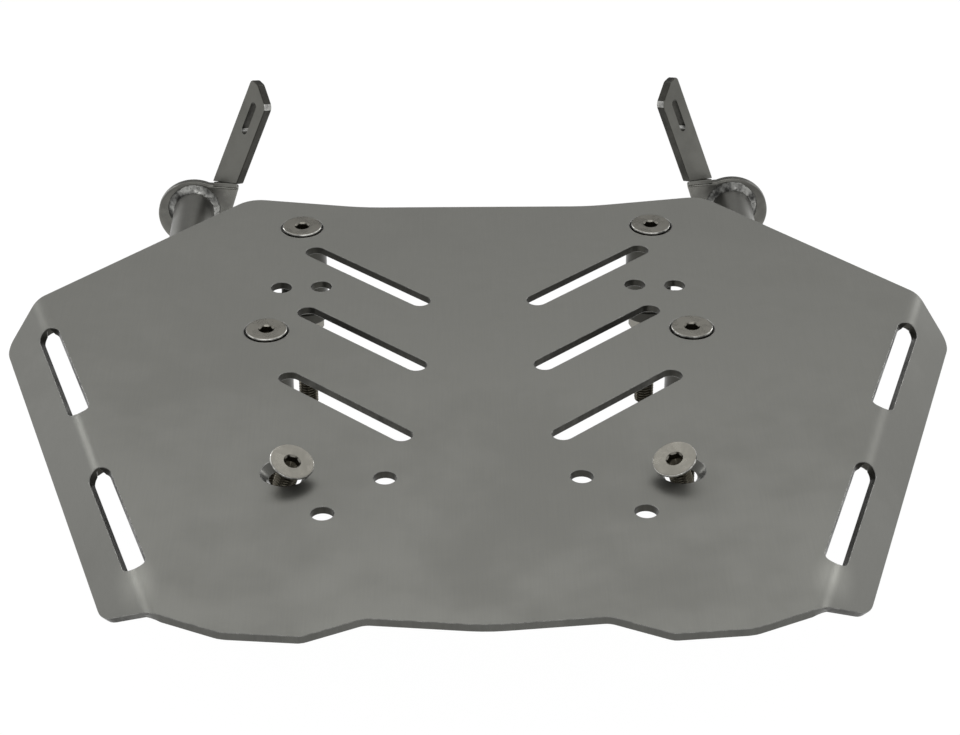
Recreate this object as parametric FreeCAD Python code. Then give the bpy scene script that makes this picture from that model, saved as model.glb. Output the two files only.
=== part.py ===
import FreeCAD, Part
import math
import os

# A folded luggage plate on a bolted and welded frame, in millimetres.
# Origin: centre of the plate's flat top face. X is to the right, Y to the rear, Z up.

V = FreeCAD.Vector
UP = V(0, 0, 1)
BIG = 600.0

# Deck plate: sheet and fold
SHEET = 3.0
BEND_IN_R = 5.0
WING_DROP = 44.0
WING_REAR_W = 20.5
WING_FRONT_W = 18.4
KINK_X = 170.96
KINK_Y = 65.37
KINK_TURN = 17.23
BEND_STEPS = 6

# Deck plate: right half of the flat outline, x, y and corner radius
FRONT_MID_Y = -142.2
FRONT_MID_R = 60.0
FRONT_IN_X = 39.5
FRONT_IN_Y = -138.1
FRONT_IN_R = 7.0
FRONT_LOBE_X = 59.5
FRONT_LOBE_Y = -147.4
FRONT_LOBE_R = 6.0
FRONT_OUT_X = 85.8
FRONT_OUT_Y = -144.9
FRONT_OUT_R = 12.0
FRONT_TURN = 25.5
REAR_TURN = 46.0
REAR_X = 93.2
REAR_Y = 145.9
REAR_R = 12.0
REAR_MID_X = 46.2
REAR_MID_Y = 138.0
REAR_MID_R = 90.0
WING_REAR_R = 9.0
WING_FRONT_R = 12.0

# Deck plate: slots in the load face
SLOT_W = 8.0
SLOT_GAP = 56.7
V_TURN = 42.7
V_REAR_X = 43.5
V_REAR_Y = 81.65
V_MID_X = 44.7
V_MID_Y = 34.7
V_FRONT_X = 49.6
V_FRONT_Y = -12.2

# Deck plate: strap slots along the folds, measured from the rear end of the fold
STRAP_W = 9.0
STRAP_GAP = 53.2
STRAP_TURN = 1.2
STRAP_REAR_S = 53.4
STRAP_FRONT_S = 152.3

# Deck plate: round holes
HOLE_R = 4.0
REAR_OUT_X = 76.7
REAR_OUT_Y = 73.0
REAR_IN_X = 61.2
REAR_IN_Y = 73.7
FRONT_IN_HOLE_X = 34.2
FRONT_IN_HOLE_Y = -58.4
FRONT_OUT_HOLE_X = 55.2
FRONT_OUT_HOLE_Y = -79.6

# Deck plate: countersunk holes for the screws
SINK_R = 8.65
SCREW_REAR_X = 70.7
SCREW_REAR_Y = 121.3
SCREW_MID_X = 80.8
SCREW_MID_Y = 40.7
SCREW_FRONT_X = 69.1
SCREW_FRONT_Y = -54.6

# Countersunk M8 screws
HEAD_R = 7.9
HEAD_RIM = 0.8
SHANK_R = 4.0
TIP_CHAMFER = 1.0
SOCKET_FLATS = 5.0
SOCKET_DEPTH = 3.0
SEATED_LENGTH = 85.0
LOOSE_LENGTH = 97.05
LEAN_SIDE = 16.8
LEAN_FRONT = 13.3
LOOSE_X = 66.06
LOOSE_Y = -58.62

# Spacers, tabs and nuts under the seated screws
SPACER_R = 9.5
SPACER_H = 33.0
BORE_CLEAR = 0.2
BORE_CHAMFER = 0.7
TAB_W = 19.0
TAB_T = 5.0
TAB_PAST_RAIL = 4.0
NUT_FLATS = 13.0
NUT_H = 6.5
NUT_CLEAR = 0.1

# Rails
RAIL_R = 9.0
RAIL_WALL = 2.0
RAIL_LEFT_X = -125.6
RAIL_RIGHT_X = 116.6
RAIL_FRONT_Y = 27.0
RAIL_REAR_Y = 230.0
TAB_WELD_LEG = 3.5
TAB_WELD_DOWN = 1.0

# End plates: outline offsets from the rail axis, toward the middle of the rack
PLATE_T = 4.5
PLATE_R = 16.5
PLATE_DROP = 3.6
PLATE_IN_TOP = 20.4
PLATE_TOP_Z = 10.2
PLATE_IN_LOW = 15.3
PLATE_LOW_Z = -6.0
PLATE_TOP_FROM = 65.0
PLATE_LOW_FROM = -60.0
END_WELD_LEG = 1.8

# Mount arms
ARM_W = 14.5
ARM_T = 4.2
LEAN_ARM_LEFT = 21.2
LEAN_ARM_RIGHT = 19.6
ARM_SPIN = 50.0
ARM_L = 50.4
ARM_FOOT_IN = 15.4
ARM_FOOT_Z = 12.0
ARM_FOOT_CUT = 20.0
ARM_TOP_FLAT = 5.0
ARM_CHAMFER_L = 6.0
ARM_SLOT_W = 3.5
ARM_SLOT_GAP = 12.5
ARM_SLOT_DOWN = 16.1
ARM_TOP_R = 2.0
ARM_SIDE_R = 4.0
ARM_WELD_FROM = 9.0
ARM_WELD_SHORT = 1.0


def rounded_face(corners):
    """A flat face from corners given as x, y and corner radius."""
    edges = []
    count = len(corners)
    starts = []
    ends = []
    mids = []
    for i in range(count):
        x, y, r = corners[i]
        here = V(x, y, 0)
        back = V(*corners[i - 1][:2], 0) - here
        ahead = V(*corners[(i + 1) % count][:2], 0) - here
        back.normalize()
        ahead.normalize()
        half = back.getAngle(ahead) / 2
        reach = r / math.tan(half)
        starts.append(here + back * reach)
        ends.append(here + ahead * reach)
        bisector = (back + ahead).normalize() if r else UP
        mids.append(here + bisector * (r / math.sin(half) - r))
    for i in range(count):
        if corners[i][2]:
            edges.append(Part.Arc(starts[i], mids[i], ends[i]).toShape())
        edges.append(Part.makeLine(ends[i], starts[(i + 1) % count]))
    return Part.Face(Part.Wire(edges))


def stadium(gap, width, height):
    """A standing slot shape: two end centres on Y, gap apart, from -height to height."""
    r = width / 2
    h = gap / 2
    outline = [
        Part.Arc(V(r, h, 0), V(0, h + r, 0), V(-r, h, 0)).toShape(),
        Part.makeLine(V(-r, h, 0), V(-r, -h, 0)),
        Part.Arc(V(-r, -h, 0), V(0, -h - r, 0), V(r, -h, 0)).toShape(),
        Part.makeLine(V(r, -h, 0), V(r, h, 0)),
    ]
    face = Part.Face(Part.Wire(outline))
    face.translate(V(0, 0, -height))
    return face.extrude(V(0, 0, 2 * height))


def mirrored(shape):
    """The same shape on the left side."""
    return shape.mirror(V(0, 0, 0), V(1, 0, 0))


def side_frame():
    """Frame of the right fold: X outward, Y to the rear along the fold, Z up."""
    return FreeCAD.Placement(V(KINK_X, KINK_Y, 0), FreeCAD.Rotation(UP, -KINK_TURN))


def block_between(x_from, x_to):
    """A large block between two X values."""
    return Part.makeBox(x_to - x_from, 2 * BIG, 2 * BIG, V(x_from, -BIG, -BIG))


def flat_outline():
    """Flat outline of the whole sheet before folding."""
    frame = side_frame()
    back = frame.inverse()
    front = outer_corner(back, FRONT_OUT_X, FRONT_OUT_Y, FRONT_TURN, WING_FRONT_W)
    rear = outer_corner(back, REAR_X, REAR_Y, -REAR_TURN, WING_REAR_W)
    right = [
        (FRONT_IN_X, FRONT_IN_Y, FRONT_IN_R),
        (FRONT_LOBE_X, FRONT_LOBE_Y, FRONT_LOBE_R),
        (FRONT_OUT_X, FRONT_OUT_Y, FRONT_OUT_R),
        (front.x, front.y, WING_FRONT_R),
        (rear.x, rear.y, WING_REAR_R),
        (REAR_X, REAR_Y, REAR_R),
        (REAR_MID_X, REAR_MID_Y, REAR_MID_R),
    ]
    left = [(-x, y, r) for x, y, r in reversed(right)]
    return rounded_face([(0, FRONT_MID_Y, FRONT_MID_R)] + right + left)


def outer_corner(back, x, y, turn, distance):
    """Where an edge of the flat outline reaches a distance beyond the fold."""
    angle = math.radians(turn)
    start = V(x, y, 0)
    direction = V(math.cos(angle), math.sin(angle), 0)
    here = back.multVec(start)
    along = back.Rotation.multVec(direction)
    step = (distance - here.x) / along.x
    return start + direction * step


def span_at(face, x):
    """Front and rear ends of the flat outline on a line beside the fold."""
    line = face.common(Part.makeLine(V(x, -BIG, 0), V(x, BIG, 0)))
    return line.BoundBox.YMin, line.BoundBox.YMax


def folded_side(face):
    """Bend and wing of the right side in the fold's own frame."""
    outer = BEND_IN_R + SHEET
    reach = outer * math.tan(math.radians(WING_DROP / 2))
    inner_span = span_at(face, -reach)
    outer_span = span_at(face, reach)
    wires = []
    for i in range(BEND_STEPS + 1):
        part = i / BEND_STEPS
        turn = math.radians(WING_DROP * part)
        front = inner_span[0] + (outer_span[0] - inner_span[0]) * part
        rear = inner_span[1] + (outer_span[1] - inner_span[1]) * part
        across = V(math.sin(turn), 0, math.cos(turn))
        centre = V(-reach, 0, -outer)
        low = centre + across * BEND_IN_R
        high = centre + across * outer
        start = V(low.x, front, low.z)
        wires.append(Part.makePolygon([
            start, V(high.x, front, high.z), V(high.x, rear, high.z), V(low.x, rear, low.z), start,
        ]))
    bend = Part.makeLoft(wires, True, False)
    wing = face.extrude(V(0, 0, -SHEET)).common(block_between(reach, BIG))
    wing.rotate(V(0, 0, 0), V(0, 1, 0), WING_DROP)
    return bend, wing, reach


def strap_cutter(along):
    """Inner and outer half of a slot along the fold, the outer half bent down with the side."""
    slot = stadium(STRAP_GAP, STRAP_W, 3 * SHEET)
    slot.rotate(V(0, 0, 0), UP, -STRAP_TURN)
    slot.translate(V(0, -along, 0))
    inner = slot.common(block_between(-BIG, 0))
    outer = slot.common(block_between(0, BIG))
    outer.rotate(V(0, 0, 0), V(0, 1, 0), WING_DROP)
    return inner, outer


def deck_cutters():
    """Slots and holes of the right side, as solids to take away."""
    cutters = []
    for x, y in ((V_REAR_X, V_REAR_Y), (V_MID_X, V_MID_Y), (V_FRONT_X, V_FRONT_Y)):
        slot = stadium(SLOT_GAP, SLOT_W, 2 * SHEET)
        slot.rotate(V(0, 0, 0), UP, V_TURN - 90)
        slot.translate(V(x, y, 0))
        cutters.append(slot)
    for x, y in (
        (REAR_OUT_X, REAR_OUT_Y), (REAR_IN_X, REAR_IN_Y),
        (FRONT_IN_HOLE_X, FRONT_IN_HOLE_Y), (FRONT_OUT_HOLE_X, FRONT_OUT_HOLE_Y),
    ):
        cutters.append(Part.makeCylinder(HOLE_R, 4 * SHEET, V(x, y, -2 * SHEET)))
    for x, y in screw_spots():
        cutters.append(Part.makeCone(SINK_R - SHEET, SINK_R, SHEET, V(x, y, -SHEET)))
    for along in (STRAP_REAR_S, STRAP_FRONT_S):
        for half in strap_cutter(along):
            half.Placement = side_frame().multiply(half.Placement)
            cutters.append(half)
    return cutters


def screw_spots():
    """Centres of the countersunk holes on the right side."""
    return (SCREW_REAR_X, SCREW_REAR_Y), (SCREW_MID_X, SCREW_MID_Y), (SCREW_FRONT_X, SCREW_FRONT_Y)


def deck_plate():
    """The folded sheet with all its slots and holes."""
    frame = side_frame()
    face = flat_outline()
    local = face.copy()
    local.Placement = frame.inverse().multiply(local.Placement)
    bend, wing, reach = folded_side(local)
    keep = block_between(-BIG, -reach)
    keep.Placement = frame.multiply(keep.Placement)
    body = face.extrude(V(0, 0, -SHEET)).common(keep).common(mirrored(keep))
    for piece in (bend, wing):
        piece.Placement = frame.multiply(piece.Placement)
        body = body.fuse([piece, mirrored(piece)])
    cutters = deck_cutters()
    body = body.cut(cutters + [mirrored(cutter) for cutter in cutters])
    return body.removeSplitter()


def hex_prism(flats, height, z):
    """A hexagon across flats, standing from z upward."""
    r = flats / math.sqrt(3)
    ring = [V(r * math.cos(math.radians(60 * i)), r * math.sin(math.radians(60 * i)), z) for i in range(7)]
    return Part.Face(Part.makePolygon(ring)).extrude(V(0, 0, height))


def screw(length):
    """A countersunk socket screw with its head face at the origin."""
    cone = HEAD_R - SHANK_R
    outline = Part.makePolygon([
        V(0, 0, 0), V(HEAD_R, 0, 0), V(HEAD_R, 0, -HEAD_RIM), V(SHANK_R, 0, -HEAD_RIM - cone),
        V(SHANK_R, 0, -length + TIP_CHAMFER), V(SHANK_R - TIP_CHAMFER, 0, -length),
        V(0, 0, -length), V(0, 0, 0),
    ])
    body = Part.Face(outline).revolve(V(0, 0, 0), UP, 360)
    drill = Part.makeCone(0.5, SOCKET_FLATS / 2, SOCKET_FLATS / 3, V(0, 0, -SOCKET_DEPTH - SOCKET_FLATS / 3))
    return body.cut([hex_prism(SOCKET_FLATS, SOCKET_DEPTH, -SOCKET_DEPTH), drill])


def head_top():
    """Height of a seated head, its cone resting in the chamfered bore of the spacer below."""
    return -SHEET + HEAD_RIM + HEAD_R - SHANK_R - BORE_CLEAR - BORE_CHAMFER


def loose_screw(side):
    """A front screw leaning in its hole, its tip level with the other tips."""
    body = screw(LOOSE_LENGTH)
    body.rotate(V(0, 0, 0), V(1, 0, 0), LEAN_FRONT)
    body.rotate(V(0, 0, 0), V(0, 1, 0), -side * LEAN_SIDE)
    body.translate(V(side * LOOSE_X, LOOSE_Y, 0))
    body.translate(V(0, 0, head_top() - SEATED_LENGTH - body.BoundBox.ZMin))
    return body


def spacer():
    """A turned spacer with its top at the origin and its bore chamfered there."""
    bore = SHANK_R + BORE_CLEAR
    body = Part.makeCylinder(SPACER_R, SPACER_H, V(0, 0, -SPACER_H))
    chamfer = Part.makeCone(bore, bore + BORE_CHAMFER, BORE_CHAMFER, V(0, 0, -BORE_CHAMFER))
    return body.cut([Part.makeCylinder(bore, SPACER_H, V(0, 0, -SPACER_H)), chamfer])


def nut():
    """A hexagon nut with its top at the origin and its corners turned off."""
    body = hex_prism(NUT_FLATS, NUT_H, -NUT_H)
    low = NUT_FLATS / 2
    cone = Part.makeCone(low, low + NUT_H, NUT_H, V(0, 0, -NUT_H))
    bore = Part.makeCylinder(SHANK_R + NUT_CLEAR, NUT_H, V(0, 0, -NUT_H))
    return body.common(cone).cut(bore)


def tab_top():
    """Height of the tabs' top face."""
    return -SHEET - SPACER_H


def rail_z():
    """Height of the rail axis, the tabs lying on the rails."""
    return tab_top() - TAB_T - RAIL_R


def inward(x):
    """The direction from a rail toward the middle."""
    return -1 if x > 0 else 1


def tab(x, y, rail_x):
    """A flat tab from a screw outward onto its rail."""
    end = rail_x - inward(x) * TAB_PAST_RAIL
    half = TAB_W / 2
    bar = Part.makeBox(abs(end - x), TAB_W, TAB_T, V(min(x, end), y - half, tab_top() - TAB_T))
    round_end = Part.makeCylinder(half, TAB_T, V(x, y, tab_top() - TAB_T))
    hole = Part.makeCylinder(SHANK_R + BORE_CLEAR, TAB_T, V(x, y, tab_top() - TAB_T))
    return bar.fuse(round_end).cut(hole).removeSplitter()


def rail_solid(x):
    """The outside of a rail as a full bar."""
    return Part.makeCylinder(RAIL_R, RAIL_REAR_Y - RAIL_FRONT_Y, V(x, RAIL_FRONT_Y, rail_z()), V(0, 1, 0))


def rail(x):
    """A straight round tube along Y."""
    inner = RAIL_R - RAIL_WALL
    hollow = Part.makeCylinder(inner, RAIL_REAR_Y - RAIL_FRONT_Y, V(x, RAIL_FRONT_Y, rail_z()), V(0, 1, 0))
    return rail_solid(x).cut(hollow)


def tab_weld(y, rail_x):
    """Weld bead between the outer end of a tab and the flank of its rail."""
    side = -inward(rail_x)
    end = rail_x + side * TAB_PAST_RAIL
    foot = TAB_PAST_RAIL + TAB_WELD_LEG
    foot_z = rail_z() + math.sqrt(RAIL_R ** 2 - foot ** 2)
    y0 = y - TAB_W / 2
    high_z = tab_top() - TAB_WELD_DOWN
    outline = Part.makePolygon([
        V(end, y0, high_z), V(rail_x + side * foot, y0, foot_z), V(end, y0, rail_z()), V(end, y0, high_z),
    ])
    bead = Part.Face(outline).extrude(V(0, TAB_W, 0))
    return bead.cut(rail_solid(rail_x))


def end_plate(x):
    """The plate across the rear end of a rail, round outside and square toward the middle."""
    side = inward(x)
    r = PLATE_R

    def rim(turn):
        angle = math.radians(turn)
        return V(side * r * math.cos(angle), 0, r * math.sin(angle) - PLATE_DROP)

    corner = V(side * PLATE_IN_TOP, 0, PLATE_TOP_Z)
    low = V(side * PLATE_IN_LOW, 0, PLATE_LOW_Z)
    outline = [
        Part.Arc(rim(PLATE_LOW_FROM), rim(180), rim(PLATE_TOP_FROM)).toShape(),
        Part.makeLine(rim(PLATE_TOP_FROM), corner),
        Part.makeLine(corner, low),
        Part.makeLine(low, rim(PLATE_LOW_FROM)),
    ]
    face = Part.Face(Part.Wire(outline))
    face.translate(V(x, RAIL_REAR_Y, rail_z()))
    return face.extrude(V(0, PLATE_T, 0))


def end_weld(x):
    """Ring of weld where a rail meets its end plate."""
    y = RAIL_REAR_Y
    outline = Part.makePolygon([
        V(x + RAIL_R, y, rail_z()), V(x + RAIL_R + END_WELD_LEG, y, rail_z()),
        V(x + RAIL_R, y - END_WELD_LEG, rail_z()), V(x + RAIL_R, y, rail_z()),
    ])
    return Part.Face(outline).revolve(V(x, y, rail_z()), V(0, 1, 0), 360)


def foot_space(x):
    """Everything below the sloping foot of an arm."""
    block = Part.makeBox(2 * BIG, 2 * BIG, BIG, V(-BIG, -BIG, -BIG))
    block.rotate(V(0, 0, 0), V(1, 0, 0), -ARM_FOOT_CUT)
    block.translate(V(x + inward(x) * ARM_FOOT_IN, RAIL_REAR_Y + PLATE_T / 2, rail_z() + ARM_FOOT_Z))
    return block


def arm(x):
    """A flat slotted bar standing on the top edge of an end plate."""
    side = inward(x)
    half = ARM_W / 2
    face = rounded_face([
        (-half, -ARM_W, 0), (half, -ARM_W, 0), (half, ARM_L - ARM_CHAMFER_L, ARM_SIDE_R),
        (ARM_TOP_FLAT - half, ARM_L, ARM_TOP_R), (-half, ARM_L, ARM_TOP_R),
    ])
    slot = stadium(ARM_SLOT_GAP, ARM_SLOT_W, 2 * ARM_T)
    slot.translate(V(0, ARM_L - ARM_SLOT_DOWN, 0))
    body = face.extrude(V(0, 0, ARM_T)).cut(slot)
    body.translate(V(0, 0, -ARM_T / 2))
    body.rotate(V(0, 0, 0), V(1, 0, 0), 90)
    body.rotate(V(0, 0, 0), UP, -ARM_SPIN)
    body.rotate(V(0, 0, 0), V(0, 1, 0), LEAN_ARM_LEFT if side > 0 else LEAN_ARM_RIGHT)
    if side < 0:
        body = mirrored(body)
    body.translate(V(x + side * ARM_FOOT_IN, RAIL_REAR_Y + PLATE_T / 2, rail_z() + ARM_FOOT_Z))
    return body.cut(foot_space(x))


def arm_weld(x):
    """Weld that fills the wedge between the foot of an arm and its end plate."""
    side = inward(x)
    start = x + side * ARM_WELD_FROM
    end = x + side * (PLATE_IN_TOP - ARM_WELD_SHORT)
    low = rail_z() + PLATE_TOP_Z - ARM_WELD_SHORT
    block = Part.makeBox(abs(end - start), PLATE_T, PLATE_R, V(min(start, end), RAIL_REAR_Y, low))
    return block.common(foot_space(x)).cut(end_plate(x))


def placed(shape, x, y, z):
    """The shape moved to a spot."""
    shape.translate(V(x, y, z))
    return shape


def build():
    """All pieces by node name."""
    nodes = {"deck_plate": deck_plate()}
    rear = (SCREW_REAR_X, SCREW_REAR_Y)
    mid = (SCREW_MID_X, SCREW_MID_Y)
    for side, hand, rail_x in ((-1, "left", RAIL_LEFT_X), (1, "right", RAIL_RIGHT_X)):
        for row, spot in (("rear", rear), ("mid", mid)):
            x = side * spot[0]
            y = spot[1]
            nodes[f"screw_{row}_{hand}"] = placed(screw(SEATED_LENGTH), x, y, head_top())
            nodes[f"spacer_{row}_{hand}"] = placed(spacer(), x, y, -SHEET)
            nodes[f"support_tab_{row}_{hand}"] = tab(x, y, rail_x)
            nodes[f"nut_{row}_{hand}"] = placed(nut(), x, y, tab_top() - TAB_T)
            nodes[f"weld_tab_{row}_{hand}"] = tab_weld(y, rail_x)
        nodes[f"screw_front_{hand}"] = loose_screw(side)
        nodes[f"rail_tube_{hand}"] = rail(rail_x)
        nodes[f"end_plate_{hand}"] = end_plate(rail_x)
        nodes[f"weld_end_{hand}"] = end_weld(rail_x)
        nodes[f"mount_arm_{hand}"] = arm(rail_x)
        nodes[f"weld_arm_{hand}"] = arm_weld(rail_x)
    return nodes


os.makedirs("parts", exist_ok=True)
for node_name, node_shape in build().items():
    node_shape.exportStep(f"parts/{node_name}.step")
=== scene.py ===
import math

import bmesh
import bpy
import numpy as np
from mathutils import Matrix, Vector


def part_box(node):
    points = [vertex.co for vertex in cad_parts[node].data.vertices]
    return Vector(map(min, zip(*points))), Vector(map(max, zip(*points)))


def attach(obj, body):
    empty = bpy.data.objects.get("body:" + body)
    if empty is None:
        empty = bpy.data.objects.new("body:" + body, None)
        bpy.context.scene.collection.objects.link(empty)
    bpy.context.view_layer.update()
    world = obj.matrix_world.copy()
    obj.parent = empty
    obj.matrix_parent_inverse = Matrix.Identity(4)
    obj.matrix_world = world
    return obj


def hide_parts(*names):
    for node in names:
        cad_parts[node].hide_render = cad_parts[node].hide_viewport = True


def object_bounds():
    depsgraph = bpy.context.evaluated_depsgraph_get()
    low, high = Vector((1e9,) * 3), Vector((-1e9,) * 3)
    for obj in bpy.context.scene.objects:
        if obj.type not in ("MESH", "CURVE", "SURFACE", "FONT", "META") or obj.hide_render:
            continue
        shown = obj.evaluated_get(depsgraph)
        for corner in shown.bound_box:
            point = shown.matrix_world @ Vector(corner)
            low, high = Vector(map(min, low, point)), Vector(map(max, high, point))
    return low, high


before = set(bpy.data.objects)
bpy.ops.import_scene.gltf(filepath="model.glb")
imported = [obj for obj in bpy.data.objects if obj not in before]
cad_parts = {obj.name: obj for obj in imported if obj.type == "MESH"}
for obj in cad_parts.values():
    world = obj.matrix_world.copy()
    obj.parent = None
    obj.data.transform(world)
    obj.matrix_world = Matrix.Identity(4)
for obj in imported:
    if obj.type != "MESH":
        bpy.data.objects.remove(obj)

bl_info = {
    "name": "Luggage rack finish",
    "version": (1, 0, 0),
    "blender": (4, 5, 0),
    "location": "View3D > Sidebar > Luggage rack",
    "description": "Dresses a folded luggage plate and its welded frame, and sets the stage for it",
    "category": "Object",
}

CAD_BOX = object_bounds()
SIDES = {"left": -1, "right": 1}
ROWS = ("rear", "mid")

SHARP_ANGLE = math.radians(35)  # edges that turn more are corners
FLAT_ANGLE = math.radians(0.4)  # faces that turn less are one
OWN_MERGE = 1e-6
CAD_MERGE = 1e-4
SMALL_EDGE = 0.0002  # broken edges of nuts and ground welds

# Strength and distance of the bumps of a finish
BRIGHT = (0.05, 0.00001)
SATIN = (0.15, 0.00003)
GROUND = (0.2, 0.00004)
ROUGH = (0.3, 0.00004)


# Sizes and colours that a user would change


def colour_setting(name, description, default):
    """A colour."""
    return bpy.props.FloatVectorProperty(
        name=name, description=description, subtype="COLOR", size=3, min=0, max=1, default=default,
    )


def length_setting(name, description, default, **limits):
    """A length in metres."""
    return bpy.props.FloatProperty(
        name=name, description=description, unit="LENGTH", default=default, **limits,
    )


def angle_setting(name, description, degrees):
    """An angle, given in degrees and kept in radians."""
    return bpy.props.FloatProperty(
        name=name, description=description, subtype="ANGLE", default=math.radians(degrees),
    )


def share_setting(name, description, default):
    """A share from 0 to 1."""
    return bpy.props.FloatProperty(
        name=name, description=description, subtype="FACTOR", min=0, max=1, default=default,
    )


def power_setting(name, description, default):
    """A lamp's power in watts."""
    return bpy.props.FloatProperty(
        name=name, description=description, unit="POWER", default=default,
    )


def level_setting(name, description, default):
    """A level of even light."""
    return bpy.props.FloatProperty(
        name=name, description=description, min=0, max=2, default=default,
    )


class SheetSettings(bpy.types.PropertyGroup):
    colour: colour_setting("Face colour", "Colour of the rolled faces", (0.213, 0.213, 0.196))
    edge_colour: colour_setting("Edge colour", "Colour of the outer edge", (0.115, 0.115, 0.106))
    # Painted highlight: the broken edges are coloured a little lighter than the face for the bright
    # lines along them
    arris_colour: colour_setting(
        "Arris colour", "Colour of the broken edges, worn bright", (0.24, 0.24, 0.228),
    )
    # Painted shade: this dark colour stands in for the shade on the walls of slots and holes and on
    # the sides' front ends
    cut_shade_colour: colour_setting(
        "Cut colour", "Colour of the scorched walls of the slots and holes", (0.056, 0.055, 0.048),
    )
    edge_round: length_setting(
        "Edge rounding", "Width of the broken edge all round the sheet", 0.0002,
        min=0.00005, max=0.001,
    )
    fold_x: length_setting(
        "Fold X", "Where each fold meets the rear edge, from the middle", 0.17096,
    )
    fold_y: length_setting(
        "Fold Y", "Where each fold meets the rear edge, to the rear", 0.06537,
    )
    fold_turn: angle_setting("Fold turn", "Turn of each side's fold away from straight back", 17.23)
    fold_drop: angle_setting("Fold drop", "How far each side is bent down", 44.0)
    fold_radius: length_setting("Fold radius", "Radius of the folds on the upper face", 0.008)
    # Painted highlight: a bright oval spot on each fold just past the front strap slot stands in
    # for a reflection
    highlight_along: length_setting(
        "Stretch place", "Distance down each fold of its bright stretched spot", 0.19,
    )
    highlight_share: share_setting(
        "Stretch brightness", "Share by which the stretched spots are brighter", 0.45,
    )
    smudge: share_setting("Smudges", "Strength of the cloudy handling marks", 0.06)


class ScrewSettings(bpy.types.PropertyGroup):
    colour: colour_setting("Screw colour", "Colour of screws and nuts", (0.235, 0.226, 0.198))
    # Painted glint: the rims get a light colour for the glints along them
    rim_glint_colour: colour_setting("Rim colour", "Colour of the heads' rims", (0.85, 0.84, 0.8))
    # Painted shade: sockets and threads are coloured dark for the shade in the sockets and under
    # the plate
    screw_shade_colour: colour_setting(
        "Dark colour", "Colour of sockets and threads", (0.09, 0.082, 0.063),
    )
    head_radius: length_setting("Head radius", "Radius of the countersunk head", 0.0079)
    head_rim: length_setting("Head rim", "Straight height at the edge of the head", 0.0008)
    rim_round: length_setting("Rim rounding", "Rounding of the head's edge", 0.0004)
    radius: length_setting("Thread radius", "Outer radius of the thread", 0.004)
    pitch: length_setting("Thread pitch", "Rise of the thread in one turn", 0.00125)
    thread_depth: length_setting("Thread depth", "Depth of the thread's groove", 0.00077)
    flats: length_setting("Socket size", "Socket across its flats", 0.005)
    socket_depth: length_setting("Socket depth", "Depth of the socket's flats", 0.003)
    seated_length: length_setting("Seated length", "Length of the four seated screws", 0.085)
    loose_length: length_setting("Loose length", "Length of the two loose screws", 0.09705)
    lean_side: angle_setting("Side lean", "Sideways lean of the loose screws", 16.8)
    lean_front: angle_setting("Front lean", "Forward lean of the loose screws", 13.3)


class FrameSettings(bpy.types.PropertyGroup):
    colour: colour_setting("Frame colour", "Colour of the arms' broad sides", (0.145, 0.144, 0.13))
    plate_colour: colour_setting(
        "Plate colour", "Colour of the end plates and the ground welds on them",
        (0.195, 0.193, 0.176),
    )
    tube_colour: colour_setting("Tube colour", "Colour of the tubes", (0.17, 0.169, 0.155))
    # Painted shade: tabs and spacers are coloured dark for the plate's shade over them
    shade_under_colour: colour_setting(
        "Under colour", "Colour of tabs and spacers, in the plate's shade", (0.06, 0.059, 0.052),
    )
    # Painted shade: the arms' narrow sides are coloured dark for the shade and dark reflections on
    # them
    side_shade_colour: colour_setting(
        "Side colour", "Colour of the narrow sides of the arms", (0.05, 0.049, 0.043),
    )
    # Painted glint: this light colour stands in for the glints on the arms' corner roundings and
    # slot ends
    corner_glint_colour: colour_setting(
        "Corner colour", "Colour of the arms' worn corners", (0.5, 0.5, 0.48),
    )
    edge_round: length_setting(
        "Edge rounding", "Width of the broken edges on tubes, tabs and arms", 0.0005,
        min=0.00005, max=0.001,
    )
    slot_share: share_setting(
        "Slot rounding", "Share of the edge rounding that the arms' slots get", 0.25,
    )
    plate_round: length_setting(
        "Plate rounding", "Width of the ground edge of the end plates", 0.0012,
        min=0.00005, max=0.002,
    )
    # Strength of a dark ring round each weld: partly welding tint, partly painted shade for a dark
    # reflection band
    heat_and_shade: share_setting("Heat tint", "Strength of the darkening around the welds", 0.3)


class WeldSettings(bpy.types.PropertyGroup):
    colour: colour_setting("Weld colour", "Colour of the weld beads", (0.42, 0.42, 0.4))
    ripple: length_setting("Ripple spacing", "Distance from one ripple to the next", 0.0034)
    swell: share_setting("Ripple height", "Share of a bead's size that its ripples rise", 0.11)
    ring_leg: length_setting("Ring bead", "Leg of the beads round the tube ends", 0.0028)


class StageSettings(bpy.types.PropertyGroup):
    camera_place: bpy.props.FloatVectorProperty(
        name="Camera place", description="Where the camera stands",
        subtype="TRANSLATION", size=3, default=(-0.0128, -0.803, 0.511),
    )
    camera_turn: bpy.props.FloatVectorProperty(
        name="Camera turn", description="How the camera is turned", subtype="EULER", size=3,
        default=(math.radians(57.956), math.radians(-0.08), math.radians(-0.8365)),
    )
    lens: bpy.props.FloatProperty(
        name="Lens", description="Focal length on a sensor 36 mm wide",
        unit="CAMERA", default=97.416,
    )
    key: power_setting("Rear softbox", "Power of the softbox above the rear", 5.0)
    fill: power_setting("Front softbox", "Power of the softbox above the front", 4.0)
    strip: power_setting("Side strips", "Power of each narrow lamp behind the sides", 3.0)
    surround: level_setting("Surround", "Level of the even light all round", 0.62)
    horizon: level_setting(
        "Horizon", "Level of the surround that reflections meet near the ground", 0.72,
    )
    sky: level_setting("Sky", "Level of the surround that reflections meet high up", 0.85)
    flag: share_setting(
        "Flag", "Share of light that a dark flag low behind the rack takes from reflections", 0.65,
    )


# Meshes


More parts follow.
